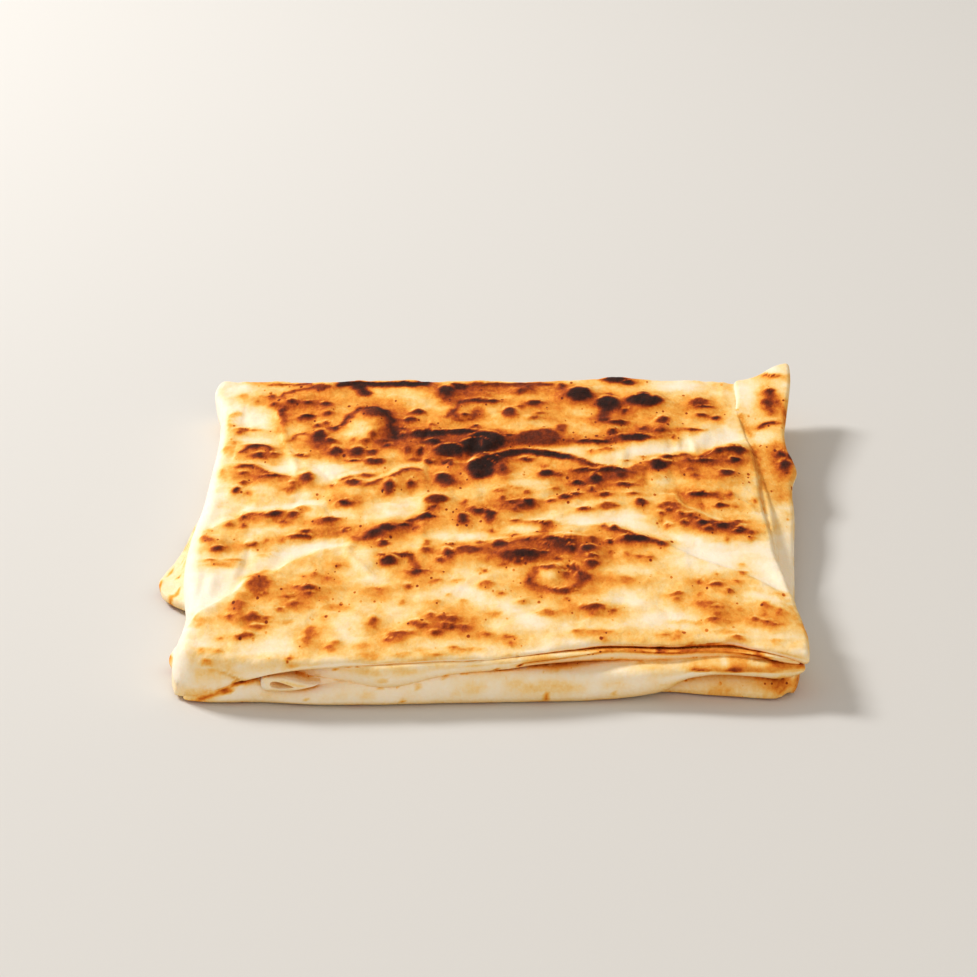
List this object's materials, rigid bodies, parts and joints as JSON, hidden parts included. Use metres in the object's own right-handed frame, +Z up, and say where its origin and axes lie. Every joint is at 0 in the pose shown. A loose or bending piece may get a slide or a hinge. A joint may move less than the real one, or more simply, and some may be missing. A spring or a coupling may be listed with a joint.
{
  "type": "gozleme",
  "caption": "Folded griddled flatbread: a flat, nearly rectangular parcel of thin dough with layered edges, a raised back corner and scorched blisters on top.",
  "frame": {"origin": "centre of the bread's box in X and Y, at the level of the flat underside that rests on the table", "axes": "+X towards the side with the loose strip, +Y towards the edge with the raised corner, +Z up out of the scorched face"},
  "size_m": [0.238, 0.2564, 0.0232],
  "materials": {
    "dough": "dry baked dough, pale cream with golden, brown and black scorch marks"
  },
  "bodies": {
    "root": {"folded_bread": "dough"}
  },
  "joints": []
}
